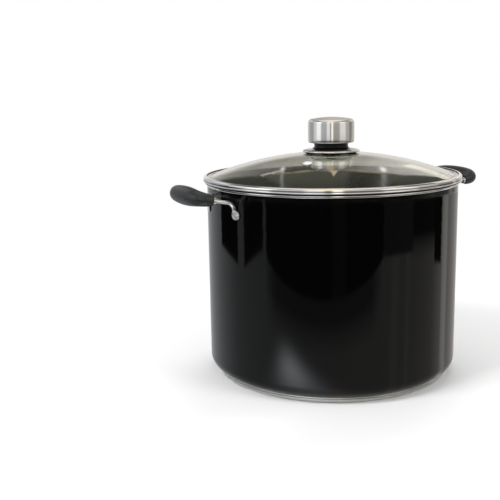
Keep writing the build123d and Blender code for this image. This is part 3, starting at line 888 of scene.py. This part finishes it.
back_streaks = ((-12.9, 0.45), (13.7, 0.75))
streak_low = (1.12, 1.22)
streak_bend = (1.33, 1.38)
streak_glow = 0.5
streak_boost = 2.5
streak_lean = 0.5
cornice_half = 14.0
cornice_depth = 0.05
cornice_glow = 0.9
back_half = 28.0
low_wall = 0.85
low_wall_top = (0.50, 0.75)
upper_boost = 0.6
upper_rise = (0.8, 1.0)
back_shade = 0.6
shade_rise = (1.15, 1.45)
shade_side = (-3, 3)
top_blur = 0.02
left_blur = 0.13
left_side = (10, 20)
room_reach = 1.8
wall_top = 1.57
ceiling_top = 2.6
warm_turn = -3.0
warm_half = 20.0
warm_low = 1.10
warm_high = 2.40
warm_glow = 1.3
gable_side = 0.7
gable_low = 1.28
gable_tip = 1.75
gable_half = 2.8
gable_glow = 1.7
overhead_low = 2.25
overhead_glow = 1.0
skirting_top = (0.035, 0.07)
skirting_turn = (70, 100)


def wall_light(turn, height):
    """Light from the walls and the ceiling: soft strips in front, a bright back wall with a warm gable."""
    side = math.copysign(180 - abs(turn), turn)
    tint = tint_left if turn < 0 else tint_right
    if height > overhead_low:
        return overhead_glow, tint_right
    if abs(side) >= back_half:
        level = blend(wall_glow, turn) if height < wall_top else blend(ceiling_glow, side)
        level *= 1 + upper_boost * rise(height, *upper_rise)
        skirting = (1 - rise(height, *skirting_top)) * (1 - rise(abs(turn), *skirting_turn))
        level += (dark - level) * skirting
        warm = math.exp(-(((turn - warm_turn) / warm_half) ** 2)) * (warm_low < height < warm_high)
        level += (warm_glow - level) * warm
        return level, [a + (b - a) * warm for a, b in zip(tint, tint_warm)]
    if gable_low < height < gable_tip:
        gable = gable_half * (gable_tip - height) / (gable_tip - gable_low)
        if abs(side - gable_side) < gable:
            return gable_glow, tint_warm
    for start, stop, low, high, glow in back_windows:
        if start < side < stop and low < height < high:
            return glow, tint_window
    ceiling = blend(ceiling_glow, side)
    wall = low_wall + (blend(back_glow, side) - low_wall) * rise(height, *low_wall_top)
    top = blend(back_top, abs(side))
    wall *= 1 - back_shade * rise(height, *shade_rise) * rise(-side, *shade_side)
    soft = top_blur + left_blur * rise(-side, *left_side)
    above = rise(height, top - soft, top + soft)
    if abs(side) < cornice_half and top - cornice_depth < height < top:
        return cornice_glow, tint_warm
    light = [wall * (1 - above) * a + ceiling * above * b for a, b in zip(tint_right, tint_ceiling)]
    for middle, half in back_streaks:
        aside = (side - middle * (1 + streak_lean * (height - wall_top))) / half
        bright = 1 + streak_boost * (1 - rise(height, *streak_bend))
        bright *= rise(height, *streak_low)
        shine = streak_glow * bright * math.exp(-(aside ** 2))
        light = [a + shine * b for a, b in zip(light, tint_streak)]
    return 1.0, light


def glow_material():
    """Plain light, in the colour that each point of a sheet carries."""
    material = bpy.data.materials.new("room_glow")
    material.use_nodes = True
    tree = material.node_tree
    tree.nodes.remove(tree.nodes["Principled BSDF"])
    light = add_node(tree, "ShaderNodeEmission")
    colour = add_node(tree, "ShaderNodeAttribute", attribute_name="glow")
    tree.links.new(colour.outputs["Color"], light.inputs["Color"])
    tree.links.new(light.outputs[0], tree.nodes["Material Output"].inputs["Surface"])
    return material


room_glow = glow_material()


def reflected_sheet(name, turns, section, light):
    """A turned sheet that only polished surfaces and glass see, with its light as a colour on each point."""
    points = []
    colours = []
    for turn in turns:
        for reach, height, place in section:
            points.append(front(reach, turn, height))
            level, tint = light(turn, place)
            colours += [level * part for part in tint] + [1.0]
    rows = len(section)
    faces = [
        (i * rows + j, (i + 1) * rows + j, (i + 1) * rows + j + 1, i * rows + j + 1)
        for i in range(len(turns) - 1) for j in range(rows - 1)
    ]
    sheet = stage_object(name, points, faces, room_glow)
    sheet.data.color_attributes.new("glow", "FLOAT_COLOR", "POINT").data.foreach_set("color", colours)
    sheet.visible_camera = False
    sheet.visible_diffuse = False
    sheet.visible_shadow = False


table_lift = 0.0006
table_start = 0.15
table_step = 0.0125
table_count = 133
table_reaches = [table_start + table_step * i for i in range(table_count)]
table_rows = [(reach, table_lift, reach) for reach in table_reaches]
table_turns = [-180.0 + i for i in range(361)]
reflected_sheet("reflected_table", table_turns, table_rows, table_light)

wall_foot = 0.002
wall_step = 0.032
wall_count = 54
wall_levels = [wall_foot + wall_step * i for i in range(wall_count)]
dome_start = wall_levels[-1]
dome_rise = ceiling_top - dome_start
wall_rows = [(room_reach, level, level) for level in wall_levels]
dome_turns = range(8, 90, 4)
for turn in dome_turns:
    lean = math.radians(turn)
    level = dome_start + dome_rise * math.sin(lean)
    wall_rows.append((room_reach * math.cos(lean), level, level))
back_step = 0.3
back_count = 94
back_turns = [back_step * i for i in range(back_count)]
wall_turns = [-180.0 + t for t in back_turns]
wall_turns += [-180.0 + back_half + i for i in range(1, int(360 - 2 * back_half))]
wall_turns += [180.0 - t for t in reversed(back_turns)]
reflected_sheet("reflected_walls", wall_turns, wall_rows, wall_light)

# Lamps for the soft light, the white surround, and the camera, fitted to the ellipses of the rim, the foot
# and the lid. Polished surfaces and glass see the room in place of the lamps.
lamps = (
    ("key_lamp", -50.0, 1.5, 1.7, 0.9, 26.0),
    ("fill_lamp", 60.0, 1.6, 1.2, 0.9, 12.0),
    ("back_lamp", 170.0, 1.2, 1.9, 1.2, 14.0),
)
lamp_aim = Vector((0.0, 0.0, 0.15))
for name, turn, distance, height, size, power in lamps:
    lamp = bpy.data.lights.new(name, "AREA")
    lamp.shape = "DISK"
    lamp.size = size
    lamp.energy = power
    holder = bpy.data.objects.new(name, lamp)
    bpy.context.scene.collection.objects.link(holder)
    holder.location = front(distance, turn, height)
    aim = lamp_aim - holder.location
    holder.rotation_mode = "QUATERNION"
    holder.rotation_quaternion = aim.to_track_quat("-Z", "Y")
    holder.visible_transmission = False
    holder.visible_glossy = False

world = bpy.data.worlds.new("white_surround")
bpy.context.scene.world = world
world.use_nodes = True
tree = world.node_tree
soft_level = 0.55
level = add_node(
    tree, "ShaderNodeMapRange", [("Value", seen_directly(tree)), ("To Min", soft_level), ("To Max", 1.0)]
)
tree.links.new(level.outputs["Result"], tree.nodes["Background"].inputs["Strength"])
tree.nodes["Background"].inputs["Color"].default_value = (1.0, 1.0, 1.0, 1.0)

camera_data = bpy.data.cameras.new("camera")
camera_data.lens = 61.7
camera_data.sensor_width = 36.0
camera_data.clip_start = 0.05
camera_data.clip_end = 50.0
camera = bpy.data.objects.new("camera", camera_data)
bpy.context.scene.collection.objects.link(camera)
camera_distance = 1.0729
camera_height = 0.3627
camera_yaw = math.radians(5.504)
camera_pitch = math.radians(11.208)
camera_roll = math.radians(-1.0)
camera.matrix_world = (
    Matrix.Translation(front(camera_distance, 0.0, camera_height))
    @ Matrix.Rotation(view_turn + camera_yaw, 4, "Z")
    @ Matrix.Rotation(math.pi / 2 - camera_pitch, 4, "X")
    @ Matrix.Rotation(camera_roll, 4, "Z")
)
bpy.context.scene.camera = camera
bpy.context.scene.view_settings.view_transform = "Standard"
